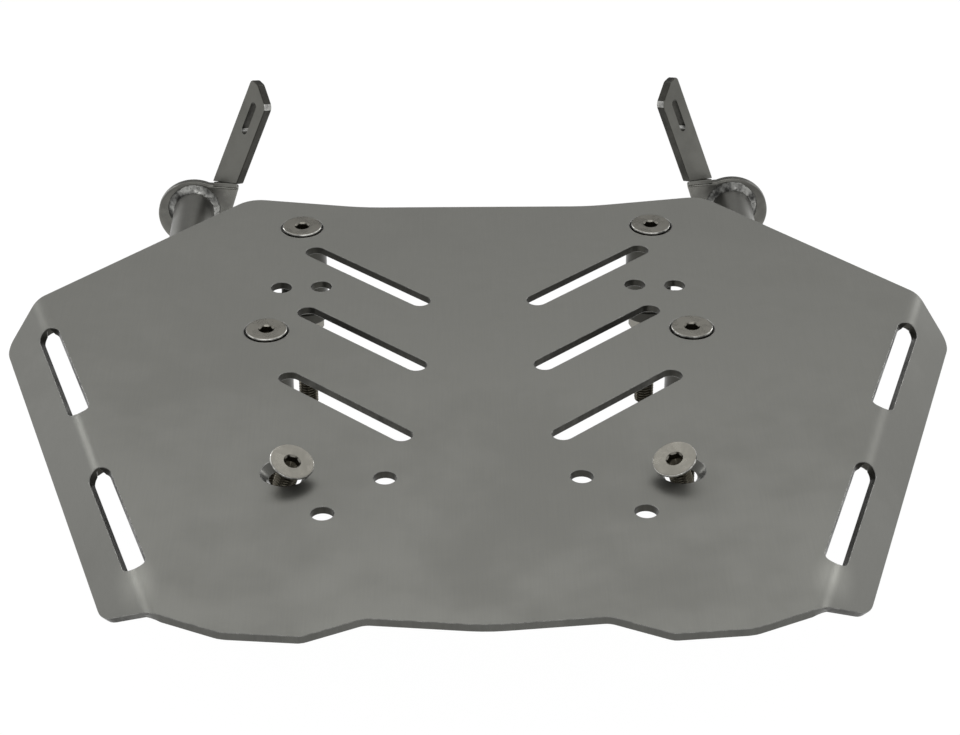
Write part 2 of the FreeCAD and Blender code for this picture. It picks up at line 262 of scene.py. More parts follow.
def grid_mesh(name, points, close_rows=False, close_columns=True, row_kinds=None):
    """A mesh over a grid of points [rows, columns, 3]: each cell is one face, poles are merged.

    Row kinds are material numbers, one for each row of cells.
    """
    rows, columns = points.shape[:2]
    i, j = np.meshgrid(
        np.arange(rows if close_rows else rows - 1),
        np.arange(columns if close_columns else columns - 1), indexing="ij",
    )
    below = (i + 1) % rows
    beside = (j + 1) % columns
    corners = np.stack([
        i * columns + j, below * columns + j, below * columns + beside, i * columns + beside,
    ], axis=-1).reshape(-1, 4)
    mesh = bpy.data.meshes.new(name)
    mesh.vertices.add(rows * columns)
    mesh.vertices.foreach_set("co", points.astype(np.float32).ravel())
    mesh.loops.add(corners.size)
    mesh.loops.foreach_set("vertex_index", corners.astype(np.int32).ravel())
    mesh.polygons.add(len(corners))
    mesh.polygons.foreach_set("loop_start", np.arange(0, corners.size, 4, dtype=np.int32))
    if row_kinds is not None:
        kinds = np.repeat(row_kinds, columns).astype(np.int32)
        mesh.polygons.foreach_set("material_index", kinds)
    mesh.update(calc_edges=True)
    clean_mesh(mesh, OWN_MERGE, recalculate=True)
    return mesh


def clean_mesh(mesh, distance, recalculate=False, flatten=False):
    """Merges doubles, shades smooth and keeps corners sharp."""
    work = bmesh.new()
    work.from_mesh(mesh)
    bmesh.ops.remove_doubles(work, verts=work.verts, dist=distance)
    bmesh.ops.dissolve_degenerate(work, edges=work.edges, dist=distance)
    if flatten:
        bmesh.ops.dissolve_limit(
            work, angle_limit=FLAT_ANGLE, verts=work.verts, edges=work.edges,
        )
    if recalculate:
        bmesh.ops.recalc_face_normals(work, faces=work.faces)
    for face in work.faces:
        face.smooth = True
    for edge in work.edges:
        edge.smooth = len(edge.link_faces) == 2 and edge.calc_face_angle(0) < SHARP_ANGLE
    work.to_mesh(mesh)
    work.free()


def add_piece(name, mesh, nodes, slot, *materials):
    """The mesh as an object of the rack that stands for its CAD nodes."""
    piece = bpy.data.objects.new(name, mesh)
    bpy.context.scene.collection.objects.link(piece)
    for material in materials:
        mesh.materials.append(material)
    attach(piece, "root")
    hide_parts(*nodes)
    return piece


def rounded_piece(name, node, slot, materials, width, segments=3, **limits):
    """A CAD node's own mesh as a piece: flat faces merged, every corner rounded."""
    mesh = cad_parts[node].data.copy()
    mesh.name = node + "_rounded"
    mesh.materials.clear()
    clean_mesh(mesh, CAD_MERGE, flatten=True)
    piece = add_piece(name, mesh, [node], slot, *materials)
    round_edges(piece, width, segments, **limits)
    return piece


def round_edges(piece, width, segments, material=-1, clamp=True, limit="ANGLE"):
    """The live edge rounding of a piece, kept narrow at its shortest edges by the clamp."""
    bevel = piece.modifiers.new("Broken edges", "BEVEL")
    bevel.width = width
    bevel.segments = segments
    bevel.limit_method = limit
    bevel.angle_limit = SHARP_ANGLE
    bevel.material = material
    bevel.use_clamp_overlap = clamp
    even = piece.modifiers.new("Flat faces", "WEIGHTED_NORMAL")
    even.keep_sharp = True


def full_turn(steps):
    """The angles of that many even steps round a circle."""
    return np.arange(steps) * (2 * math.pi / steps)


def revolve(profile, columns=72):
    """A profile of (radius, height) carried round the Z axis: x = r cos t, y = r sin t."""
    turn = full_turn(columns)
    r = profile[:, :1]
    z = np.repeat(profile[:, 1:], columns, axis=1)
    return np.stack([r * np.cos(turn), r * np.sin(turn), z], axis=-1)


def into_place(points, node):
    """The points moved so that their box has the same middle as the CAD node's."""
    flat = points.reshape(-1, 3)
    middle = (flat.min(axis=0) + flat.max(axis=0)) / 2
    low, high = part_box(node)
    return points - middle + (np.array(low) + np.array(high)) / 2


def screw_rings(length, look, columns=48):
    """Rings of a countersunk socket screw, from the bottom of its socket over the head to its tip.

    A ring is a radius for each angle t and one height. The socket's rings follow a hexagon,
    r = half the flats / cos(t mod 60 - 30 degrees). The thread's radius falls from crest to root
    with the distance from a helix, z / pitch - t / 360 degrees.
    """
    mouth_depth, mouth_play, mouth_rim = 0.0006, 0.0002, 0.0005
    rim_steps = 5
    beside_rim, below_neck = 0.0003, 0.0003
    head_break = 0.0001
    steps_in_pitch = 8
    crest, flank = 0.25, 0.6  # shares of half a pitch
    run_out = 0.001  # length over which the thread fades in, and height of the tip's cone
    turn = full_turn(columns)
    even = np.ones(columns)
    half = look.flats / 2
    hexagon = half / np.cos(turn % (math.pi / 3) - math.pi / 6)
    corner = look.flats / math.sqrt(3)
    rim = look.rim_round
    head = look.head_radius
    rings = [
        (0 * even, -look.socket_depth - look.flats / 3),
        (half * even, -look.socket_depth),
        (hexagon, -look.socket_depth),
        (hexagon, -mouth_depth),
        ((corner + mouth_play) * even, 0.0),
        ((corner + mouth_rim) * even, 0.0),
        ((head - rim - beside_rim) * even, 0.0),
        ((head - rim) * even, 0.0),
    ]
    for part in np.linspace(0, math.pi / 2, rim_steps)[1:]:
        rings.append(((head - rim + rim * math.sin(part)) * even, rim * (math.cos(part) - 1)))
    rings.append((head * even, -look.head_rim + head_break))
    rings.append(((head - head_break) * even, -look.head_rim))
    neck = -look.head_rim - (head - look.radius)
    rings.append((look.radius * even, neck))
    top = neck - below_neck
    heights = np.arange(top, -length, -look.pitch / steps_in_pitch)
    wave = np.abs(2 * ((heights[:, None] / look.pitch - turn / (2 * math.pi)) % 1) - 1)
    groove = 1 - np.clip((wave - crest) / flank, 0, 1)
    start = np.clip((top - heights[:, None]) / run_out, 0, 1)
    shank = look.radius - look.thread_depth * groove * start
    tip = look.radius - run_out + (heights[:, None] + length)
    shank = np.minimum(shank, tip)
    radii = np.vstack([np.array([ring for ring, _ in rings]), shank, np.zeros((1, columns))])
    radii[-2] = radii[-2].min()
    z = np.concatenate([[height for _, height in rings], heights[:-1], [-length, -length]])
    z = np.repeat(z[:, None], columns, 1)
    return np.stack([radii * np.cos(turn), radii * np.sin(turn), z], axis=-1)


def screw_kinds(points):
    """For each row of a screw's grid 0 on head and cone, 1 on its rim, which gets a painted glint,
    2 in socket and thread, which get painted shade.
    """
    rows = np.arange(len(points) - 1)
    socket_end, rim_start, rim_end, cone_end = 3, 8, 12, 14
    # Painted shade in the socket and thread rows
    dark = (rows < socket_end) | (rows >= cone_end)
    return np.where(dark, 2, np.where((rows >= rim_start) & (rows < rim_end), 1, 0))


def leaned(points, side, look):
    """The points leaned forward about X, then sideways about Y."""
    a = look.lean_front
    b = -side * look.lean_side
    about_x = np.array([[1, 0, 0], [0, math.cos(a), -math.sin(a)], [0, math.sin(a), math.cos(a)]])
    about_y = np.array([[math.cos(b), 0, math.sin(b)], [0, 1, 0], [-math.sin(b), 0, math.cos(b)]])
    return points @ (about_y @ about_x).T


def bead(path, first, second, look, closed, seed, power=0.85):
    """A weld bead in the corner along a path, [steps, section points, 3].

    Each section is a quarter from the tip of the first leg to the tip of the second:
    corner + first leg cos(a)^k + second leg sin(a)^k, bulged for k under 1 and hollow over 2.
    Its size swells in a rounded saw wave along the path, bowed across the section, and wanders
    with three slow sines.
    """
    bow = 0.45
    saw_depth = 0.96
    wander_share, wander_waves, wander_shift = 0.16, (3, 7, 11), 1.7
    root_share = 0.1
    taper = 0.002  # length of each open end
    least_end = 0.0004
    steps_in_section = 9
    stride = np.linalg.norm(np.diff(path, axis=0), axis=1)
    along = np.concatenate([[0], np.cumsum(stride)])
    total = along[-1] + (np.linalg.norm(path[0] - path[-1]) if closed else 0)
    count = max(round(total / look.ripple), 1)
    a = np.linspace(0, math.pi / 2, steps_in_section)
    share = along / total
    phase = share[:, None] * count + bow * np.sin(2 * a)[None, :]
    saw = np.sqrt(1 - (phase % 1) ** 2 * saw_depth)
    wander = sum(
        np.sin(2 * math.pi * k * share + seed * (wander_shift + k)) / k for k in wander_waves
    )[:, None]
    size = 1 - look.swell * (1 - saw) + wander_share * wander
    if not closed:
        ends = np.clip(np.minimum(share, 1 - share) * total / taper, 0, 1)
        size = size * np.sqrt(np.clip(1 - (1 - ends) ** 2, least_end, 1))[:, None]
    skin = (
        path[:, None, :]
        + size[..., None] * first[:, None, :] * (np.cos(a) ** power)[None, :, None]
        + size[..., None] * second[:, None, :] * (np.sin(a) ** power)[None, :, None]
    )
    root = path - root_share * (first + second)
    return np.concatenate([skin, root[:, None, :]], axis=1)


def closed_ends(sections):
    """The bead's sections with both ends drawn together into points."""
    start = np.repeat(sections[:1].mean(axis=1, keepdims=True), sections.shape[1], axis=1)
    end = np.repeat(sections[-1:].mean(axis=1, keepdims=True), sections.shape[1], axis=1)
    return np.concatenate([start, sections, end], axis=0)


# Shader groups


def shader_group(name, inputs, outputs):
    """A shader group's tree with its input and output nodes; inputs are (label, type, value)."""
    tree = bpy.data.node_groups.new(name, "ShaderNodeTree")
    for label, kind, value in inputs:
        socket = tree.interface.new_socket(name=label, in_out="INPUT", socket_type=kind)
        socket.default_value = value
    for label in outputs:
        tree.interface.new_socket(name=label, in_out="OUTPUT", socket_type="NodeSocketFloat")
    return tree, tree.nodes.new("NodeGroupInput").outputs, tree.nodes.new("NodeGroupOutput").inputs


def put(tree, kind, sources, **settings):
    """A new node with its settings; each input takes a value or another node's output."""
    made = tree.nodes.new(kind)
    for key, value in settings.items():
        setattr(made, key, value)
    for key, source in sources.items():
        if isinstance(source, bpy.types.NodeSocket):
            tree.links.new(source, made.inputs[key])
        else:
            made.inputs[key].default_value = source
    return made


def math_node(tree, operation, first, second=0.0, clamp=False):
    """The output of a Math node."""
    sources = {0: first, 1: second}
    return put(tree, "ShaderNodeMath", sources, operation=operation, use_clamp=clamp).outputs[0]


def vector_node(tree, operation, *sources):
    """The outputs of a Vector Math node."""
    inputs = dict(enumerate(sources))
    return put(tree, "ShaderNodeVectorMath", inputs, operation=operation).outputs


def noise_node(tree, vector, scale, **inputs):
    """The tone of a noise texture."""
    inputs = {"Vector": vector, "Scale": scale, **inputs}
    return put(tree, "ShaderNodeTexNoise", inputs).outputs["Fac"]


def group_node(tree, name, place, **inputs):
    """The outputs of a shader group at a place."""
    group = bpy.data.node_groups[name]
    return put(tree, "ShaderNodeGroup", {"Vector": place, **inputs}, node_tree=group).outputs


def between(tree, value, low, high, to_low, to_high):
    """A value eased from one range to another."""
    limits = {"From Min": low, "From Max": high, "To Min": to_low, "To Max": to_high}
    eased = put(
        tree, "ShaderNodeMapRange", {"Value": value, **limits}, interpolation_type="SMOOTHSTEP",
    )
    return eased.outputs["Result"]


def grain_group():
    """Fine rolling streaks: noise on coordinates stretched along the sheet."""
    tree, given, result = shader_group(
        "rolling_grain",
        [("Vector", "NodeSocketVector", (0, 0, 0)), ("Stretch", "NodeSocketVector", (1, 0.03, 1)),
         ("Fineness", "NodeSocketFloat", 1500.0), ("Amount", "NodeSocketFloat", 0.05)],
        ["Tone", "Height"],
    )
    stretched = vector_node(tree, "MULTIPLY", given["Vector"], given["Stretch"])[0]
    noise = noise_node(tree, stretched, given["Fineness"], Detail=3.0, Roughness=0.6)
    swing = math_node(tree, "MULTIPLY", math_node(tree, "SUBTRACT", noise, 0.5), given["Amount"])
    tone = math_node(tree, "ADD", math_node(tree, "MULTIPLY", swing, 2.0), 1.0)
    tree.links.new(tone, result["Tone"])
    tree.links.new(noise, result["Height"])


def marks_group():
    """Cloudy handling marks: one broad noise broken up by a finer one."""
    tree, given, result = shader_group(
        "handling_marks",
        [("Vector", "NodeSocketVector", (0, 0, 0)), ("Size", "NodeSocketFloat", 9.0),
         ("Amount", "NodeSocketFloat", 0.1)],
        ["Tone", "Mask"],
    )
    times_finer, broad_share = 6.0, 0.75
    clear, cloudy = 0.36, 0.64
    broad = noise_node(
        tree, given["Vector"], given["Size"], Detail=4.0, Roughness=0.55, Distortion=0.4,
    )
    finer = math_node(tree, "MULTIPLY", given["Size"], times_finer)
    fine = noise_node(tree, given["Vector"], finer, Detail=3.0)
    most = math_node(tree, "MULTIPLY", broad, broad_share)
    rest = math_node(tree, "MULTIPLY", fine, 1 - broad_share)
    cloud = math_node(tree, "ADD", most, rest)
    mask = between(tree, cloud, clear, cloudy, 0.0, 1.0)
    dark = math_node(tree, "MULTIPLY", mask, given["Amount"])
    tree.links.new(math_node(tree, "SUBTRACT", 1.0, dark), result["Tone"])
    tree.links.new(mask, result["Mask"])


def heat_group():
    """Welding tint and painted shade: a soft ring at a distance from the axis of a tube, which runs
    along Y.
    """
    tree, given, result = shader_group(
        "heat_tint_and_shade",
        [("Vector", "NodeSocketVector", (0, 0, 0)), ("Centre", "NodeSocketVector", (0, 0, 0)),
         ("Ring", "NodeSocketFloat", 0.0135), ("Spread", "NodeSocketFloat", 0.003)],
        ["Mask"],
    )
    wobble_scale, wobble_reach = 190.0, 0.006
    offset = vector_node(tree, "SUBTRACT", given["Vector"], given["Centre"])[0]
    flat = vector_node(tree, "MULTIPLY", offset, (1, 0, 1))[0]
    reach = vector_node(tree, "LENGTH", flat)["Value"]
    noise = noise_node(tree, given["Vector"], wobble_scale, Detail=2.0)
    wobble = math_node(tree, "MULTIPLY", math_node(tree, "SUBTRACT", noise, 0.5), wobble_reach)
    moved = math_node(tree, "ADD", reach, wobble)
    away = math_node(tree, "ABSOLUTE", math_node(tree, "SUBTRACT", moved, given["Ring"]))
    faded = math_node(tree, "DIVIDE", away, given["Spread"])
    near = math_node(tree, "SUBTRACT", 1.0, faded, clamp=True)
    tree.links.new(between(tree, near, 0.0, 1.0, 0.0, 1.0), result["Mask"])


def sheen_group():
    """Painted highlight: an oval bright spot round a place on the right side and its mirror image.
    """
    tree, given, result = shader_group(
        "painted_fold_highlight",
        [("Vector", "NodeSocketVector", (0, 0, 0)), ("Centre", "NodeSocketVector", (0, 0, 0)),
         ("Turn", "NodeSocketFloat", 0.0), ("Amount", "NodeSocketFloat", 0.5)],
        ["Tone"],
    )
    oval_shape, spot_reach = (1, 0.45, 0), 0.0085
    folded = vector_node(tree, "ABSOLUTE", given["Vector"])[0]
    right = put(tree, "ShaderNodeSeparateXYZ", {"Vector": folded}).outputs["X"]
    own = put(tree, "ShaderNodeSeparateXYZ", {"Vector": given["Vector"]}).outputs["Y"]
    place = put(tree, "ShaderNodeCombineXYZ", {"X": right, "Y": own}).outputs[0]
    turned = put(
        tree, "ShaderNodeVectorRotate",
        {"Vector": place, "Center": given["Centre"], "Angle": given["Turn"]},
        rotation_type="Z_AXIS",
    ).outputs[0]
    offset = vector_node(tree, "SUBTRACT", turned, given["Centre"])[0]
    scaled = vector_node(tree, "MULTIPLY", offset, oval_shape)[0]
    reach = vector_node(tree, "LENGTH", scaled)["Value"]
    mask = between(tree, reach, 0.0, spot_reach, 1.0, 0.0)
    bright = math_node(tree, "MULTIPLY", mask, given["Amount"])
    tree.links.new(math_node(tree, "ADD", bright, 1.0), result["Tone"])


# Materials


def metal(name, colour, roughness, grain, marks, bump, heat_and_shade=(), sheen=None, stretch=(1, 0.03, 1)):
    """A steel finish.

    Roughness is (least, most), grain (fineness, amount), marks (size, amount) and bump (strength,
    distance). The heat_and_shade list gives (centre, ring, spread, strength) for each ring of
    welding tint and painted shade, sheen is (centre, turn, amount) of a painted highlight, and
    stretch draws the grain out along the axes where it is small.
    """
    metallic = 0.92
    material = bpy.data.materials.new(name)
    material.use_nodes = True
    tree = material.node_tree
    surface = tree.nodes["Principled BSDF"]
    place = put(tree, "ShaderNodeTexCoord", {}).outputs["Object"]
    streaks = group_node(
        tree, "rolling_grain", place, Stretch=stretch, Fineness=grain[0], Amount=grain[1],
    )
    clouds = group_node(tree, "handling_marks", place, Size=marks[0], Amount=marks[1])
    tone = math_node(tree, "MULTIPLY", streaks["Tone"], clouds["Tone"])
    for centre, ring, spread, strength in heat_and_shade:
        tint = group_node(tree, "heat_tint_and_shade", place, Centre=centre, Ring=ring, Spread=spread)
        dark = math_node(tree, "MULTIPLY", tint["Mask"], strength)
        tone = math_node(tree, "MULTIPLY", tone, math_node(tree, "SUBTRACT", 1.0, dark))
    if sheen:
        centre, turn, amount = sheen
        spot = group_node(tree, "painted_fold_highlight", place, Centre=centre, Turn=turn, Amount=amount)
        tone = math_node(tree, "MULTIPLY", tone, spot["Tone"])
    factor, first, second, colour_result = 0, 6, 7, 2  # a Mix node's colour sockets
    paint = put(
        tree, "ShaderNodeMix", {factor: 1.0, first: (*colour, 1.0), second: tone},
        data_type="RGBA", blend_type="MULTIPLY",
    ).outputs[colour_result]
    rough = between(tree, clouds["Mask"], 0.0, 1.0, roughness[0], roughness[1])
    relief = put(
        tree, "ShaderNodeBump",
        {"Strength": bump[0], "Distance": bump[1], "Height": streaks["Height"]},
    ).outputs["Normal"]
    tree.links.new(paint, surface.inputs["Base Color"])
    tree.links.new(rough, surface.inputs["Roughness"])
    tree.links.new(relief, surface.inputs["Normal"])
    surface.inputs["Metallic"].default_value = metallic
    return material


def tube_end(hand):
    """Centre of a tube's rear end and the tube's radius, from its CAD node's box."""
    low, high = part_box(f"rail_tube_{hand}")
    return ((low[0] + high[0]) / 2, high[1], (low[2] + high[2]) / 2), (high[0] - low[0]) / 2


# Operators


class RackShaders(bpy.types.Operator):
    """Makes the shader groups that the finishes share"""

    bl_idname = "rack.shaders"
    bl_label = "Shared shader groups"

    def execute(self, context):
        grain_group()
        marks_group()
        heat_group()
        sheen_group()
        return {"FINISHED"}


class RackSheet(bpy.types.Operator):
    """Finishes the folded plate: broken edges, rolled faces and cut edges"""

    bl_idname = "rack.sheet"
    bl_label = "Folded plate"

    def execute(self, context):
        look = context.scene.rack_sheet
        # Place of the painted highlight on each fold
        spot = (
            look.fold_x - look.highlight_along * math.sin(look.fold_turn),
            look.fold_y - look.highlight_along * math.cos(look.fold_turn), 0,
        )
        face = metal(
            "rolled_sheet", look.colour, (0.4, 0.52), (1500, 0.05), (9, look.smudge),
            (0.12, 0.00002), sheen=(spot, look.fold_turn, look.highlight_share),
        )
        edge = metal(
            "ground_edge", look.edge_colour, (0.25, 0.4), (900, 0.15), (60, 0.1), GROUND,
            stretch=(1, 1, 0.12),
        )
        # Painted shade on the walls of slots and holes and on the sides' front ends
        cut = metal(
            "cut_wall_painted_shade", look.cut_shade_colour, (0.35, 0.5), (900, 0.3), (60, 0.3), (0.4, 0.00005),
            stretch=(1, 1, 0.12),
        )
        # Painted highlight along the broken edges
        arris = metal(
            "bright_arris", look.arris_colour, (0.25, 0.4), (900, 0.15), (300, 0.4), GROUND,
            stretch=(1, 1, 1),
        )
        finishes = [face, edge, cut, arris]
        piece = rounded_piece(
            "finished_deck_plate", "deck_plate", "sheet_steel", finishes, look.edge_round,
            material=finishes.index(arris), clamp=False,
        )
        kinds = cut_faces(piece.data, look).astype(np.int32)
        piece.data.polygons.foreach_set("material_index", kinds)
        smooth_fold(piece, look)
        return {"FINISHED"}


def read(items, key, width=3):
    """One property of all the items, as an array with that many columns."""
    values = np.empty(len(items) * width, np.float32)
    items.foreach_get(key, values)
    return values.reshape(-1, width)


def fold_distances(places, look):
    """How far each place [n, 3] is outward from its side's fold line, and how far down the line."""
    x = np.abs(places[:, 0]) - look.fold_x
    y = places[:, 1] - look.fold_y
    cos, sin = math.cos(look.fold_turn), math.sin(look.fold_turn)
    return x * cos - y * sin, -x * sin - y * cos


def rolled_normals(places, look):
    """The upper rolled face's normal at each place [n, 3].

    A fold's axis runs under the upper face at the fold radius r, level with the end of the flat
    field, r tan(drop / 2) inside the fold's line. A normal is sin(s) * out + cos(s) * up, with out
    the level direction across the fold and s the place's angle about the axis, from 0 to the drop.
    """
    side = np.sign(places[:, 0])
    from_fold, _ = fold_distances(places, look)
    from_axis = from_fold + look.fold_radius * math.tan(look.fold_drop / 2)
    swing = np.arctan2(from_axis, places[:, 2] + look.fold_radius)
    swing = np.clip(swing, 0, look.fold_drop)
    out_x, out_y = side * math.cos(look.fold_turn), -math.sin(look.fold_turn)
    return np.stack([np.sin(swing) * out_x, np.sin(swing) * out_y, np.cos(swing)], axis=1)


def smooth_fold(piece, look):
    """Makes the modifiers of the sheet final and shades its rolled faces as one smooth sweep."""
    ready = piece.evaluated_get(bpy.context.evaluated_depsgraph_get())
    mesh = bpy.data.meshes.new_from_object(ready)
    mesh.name = "finished_deck_plate"
    piece.modifiers.clear()
    piece.data = mesh
    used = read(mesh.loops, "vertex_index", 1)[:, 0].astype(np.int32)
    size = read(mesh.polygons, "loop_total", 1)[:, 0].astype(np.int32)
    rolled = np.repeat(read(mesh.polygons, "material_index", 1) == 0, size, axis=0)
    facing = np.where(read(mesh.polygons, "normal")[:, 2:] < 0, -1.0, 1.0)
    sweep = np.repeat(facing, size, axis=0) * rolled_normals(read(mesh.vertices, "co")[used], look)
    own = read(mesh.corner_normals, "vector")
    mesh.normals_split_custom_set(np.where(rolled, sweep, own).tolist())


def cut_faces(mesh, look):
    """For each face 0 on the rolled sheet, 1 on its outer edge and 2 on its cuts, which get painted
    shade.

    The walls of slots and holes and the front ends of the sides are coloured dark as painted shade.
    Slots and holes lie in the plate's middle field or beside a fold, away from its ends; their
    countersinks, which lie askew, count as outer edge.
    """
    rolled_match = 0.93  # cosine of the angle up to which a face counts as rolled
    field_half, field_front, field_rear = 0.095, -0.1, 0.13
    slot_reach, slots_start, slots_end = 0.008, 0.018, 0.19
    askew_rise = 0.5
    normals = read(mesh.polygons, "normal")
    centres = read(mesh.polygons, "center")
    normals = normals * np.where(normals[:, 2:] < 0, -1, 1)
    rolled = (normals * rolled_normals(centres, look)).sum(axis=1) > rolled_match
    x, y = np.abs(centres[:, 0]), centres[:, 1]
    field = (x < field_half) & (y > field_front) & (y < field_rear)
    from_fold, down_fold = fold_distances(centres, look)
    beside = (np.abs(from_fold) < slot_reach) & (down_fold > slots_start) & (down_fold < slots_end)
    ends = (from_fold > 0) & (y < field_front)
    askew = (normals[:, 2] > askew_rise) & field
    return np.where(rolled, 0, np.where((field | beside | ends) & ~askew, 2, 1))


class RackScrews(bpy.types.Operator):
    """Makes six countersunk socket screws with cut threads, four seated and two loose"""

    bl_idname = "rack.screws"
    bl_label = "Screws"

    def execute(self, context):
        look = context.scene.rack_screws
        finishes = (
            metal("bright_screw", look.colour, (0.26, 0.36), (700, 0.06), (150, 0.08), BRIGHT),
            # Painted glint on the heads' rims
            metal("rim_painted_glint", look.rim_glint_colour, (0.12, 0.2), (700, 0.06), (170, 0.85), BRIGHT),
            # Painted shade in sockets and on threads
            metal("screw_painted_shade", look.screw_shade_colour, (0.2, 0.3), (700, 0.06), (150, 0.2), BRIGHT),
        )
        for hand, side in SIDES.items():
            points = screw_rings(look.seated_length, look)
            for row in ROWS:
                self.screw(f"screw_{row}_{hand}", points, finishes)
            points = leaned(screw_rings(look.loose_length, look), side, look)
            self.screw(f"screw_front_{hand}", points, finishes)
        return {"FINISHED"}

    def screw(self, node, points, finishes):
        """One screw; the grid rows of its socket and shank get painted shade, those of its rim a
        painted glint.
        """
        mesh = grid_mesh(node, into_place(points, node), row_kinds=screw_kinds(points))
        add_piece("threaded_" + node, mesh, [node], "screw_steel", *finishes)


class RackNuts(bpy.types.Operator):
    """Finishes the four nuts under the tabs"""

    bl_idname = "rack.nuts"
    bl_label = "Nuts"

    def execute(self, context):
        look = context.scene.rack_screws
        plated = metal("bright_nut", look.colour, (0.2, 0.32), (700, 0.06), (150, 0.1), BRIGHT)
        for hand in SIDES:
            for row in ROWS:
                node = f"nut_{row}_{hand}"
                rounded_piece("finished_" + node, node, "screw_steel", [plated], SMALL_EDGE, 2)
        return {"FINISHED"}


class RackSpacers(bpy.types.Operator):
    """Makes the four turned spacers between plate and tabs"""

    bl_idname = "rack.spacers"
    bl_label = "Spacers"

    def execute(self, context):
        look = context.scene.rack_frame
        # Painted shade from the plate above
        turned = metal(
            "turned_spacer_painted_shade", look.shade_under_colour, (0.28, 0.4), (1100, 0.12), (40, 0.1), ROUGH,
            stretch=(0.05, 0.05, 1),
        )
        bore, edge, chamfer = 0.0042, 0.0004, 0.0007
        for hand in SIDES:
            for row in ROWS:
                node = f"spacer_{row}_{hand}"
                low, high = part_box(node)
                outer = (high[0] - low[0]) / 2
                height = high[2] - low[2]
                profile = np.array([
                    (bore, edge), (bore + edge, 0), (outer - edge, 0), (outer, edge),
                    (outer, height - edge), (outer - edge, height),
                    (bore + chamfer, height), (bore, height - chamfer),
                ])
                mesh = grid_mesh(node, into_place(revolve(profile), node), close_rows=True)
                add_piece("turned_" + node, mesh, [node], "frame_steel", turned)
        return {"FINISHED"}


class RackFrame(bpy.types.Operator):
    """Finishes the tubes, tabs, end plates and arms"""

    bl_idname = "rack.frame"
    bl_label = "Tube frame"

    def execute(self, context):
        look = context.scene.rack_frame
        # A dark ring round each weld on the end plates: welding tint and painted shade
        tint_ring, tint_spread = 0.0135, 0.006
        heat_and_shade = [(tube_end(hand)[0], tint_ring, tint_spread, look.heat_and_shade) for hand in SIDES]
        plain = metal("frame_steel", look.colour, (0.34, 0.46), (1100, 0.07), (24, 0.12), SATIN)
        # Painted shade from the plate above the tabs
        under = metal("under_steel_painted_shade", look.shade_under_colour, (0.34, 0.46), (1100, 0.1), (24, 0.2), SATIN)
        drawn = metal("drawn_tube", look.tube_colour, (0.3, 0.42), (1100, 0.1), (24, 0.2), SATIN)
        # Painted shade on the arms' narrow sides
        narrow_shade = metal("side_painted_shade", look.side_shade_colour, (0.3, 0.45), (900, 0.2), (120, 0.3), ROUGH)
        # Painted glint on the arms' corner roundings and the lower ends of their slots
        glinting = metal("corner_painted_glint", look.corner_glint_colour, (0.2, 0.35), (900, 0.2), (400, 0.5), ROUGH)
        tinted_and_shaded = metal(
            "tinted_and_shaded_steel", look.plate_colour, (0.26, 0.4), (1100, 0.07), (60, 0.15), SATIN,
            heat_and_shade=heat_and_shade,
        )
        for hand in SIDES:
            for node, finish in (
                (f"rail_tube_{hand}", drawn),
                (f"support_tab_rear_{hand}", under),
                (f"support_tab_mid_{hand}", under),
            ):
                rounded_piece("finished_" + node, node, "frame_steel", [finish], look.edge_round)
            self.arm(f"mount_arm_{hand}", [plain, narrow_shade, glinting], look)
            node = f"end_plate_{hand}"
            rounded_piece("finished_" + node, node, "frame_steel", [tinted_and_shaded], look.plate_round, 5)
        return {"FINISHED"}

    def arm(self, node, materials, look):
        """An arm; its slot's edges are rounded less than the others."""
        piece = rounded_piece(
            "finished_" + node, node, "frame_steel", materials, look.edge_round, limit="WEIGHT",
        )
        mesh = piece.data
        mesh.polygons.foreach_set("material_index", arm_faces(mesh).astype(np.int32))
        weights = mesh.attributes.new("bevel_weight_edge", "FLOAT", "EDGE")
        weights.data.foreach_set("value", arm_weights(mesh, look.slot_share).astype(np.float32))


def arm_axes(mesh):
    """An arm's directions along, across and through, as columns.

    They are the eigenvectors of the sum of area * normal x normal, from the least area facing
    them to the most.
    """
    normals = read(mesh.polygons, "normal")
    return np.linalg.eigh((normals * read(mesh.polygons, "area", 1)).T @ normals)[1]


def arm_faces(mesh):
    """For each face 0 on an arm's broad sides, 1 on its narrow ones, which get painted shade, and 2
    on its corners, which get a painted glint.

    The glint goes on small narrow faces that turn slightly upward.
    """
    broad_match = 0.5
    small_area = 1.2e-5
    glint_rise, glint_play = 0.3, 0.32
    normals = read(mesh.polygons, "normal")
    areas = read(mesh.polygons, "area", 1)[:, 0]
    narrow = np.abs(normals @ arm_axes(mesh)[:, 2]) < broad_match
    glinting = narrow & (areas < small_area) & (np.abs(normals[:, 2] - glint_rise) < glint_play)
    return np.where(glinting, 2, np.where(narrow, 1, 0))


def arm_weights(mesh, slot_share):
    """For each edge of an arm its share of the rounding: 0 if flat, 1 at corners, less at its slot.

    The slot lies near the arm's middle line and away from the arm's ends.
    """
    slot_half, end_reach = 0.004, 0.005
    along, across = (read(mesh.vertices, "co") @ arm_axes(mesh)[:, :2]).T
    middle = np.abs(across - (across.min() + across.max()) / 2) < slot_half
    inner = middle & (along - along.min() > end_reach) & (along.max() - along > end_reach)
    in_slot = inner[read(mesh.edges, "vertices", 2).astype(np.int32)].all(axis=1)
    sharp = read(mesh.edges, "use_edge_sharp", 1)[:, 0]
    return sharp * np.where(in_slot, slot_share, 1.0)


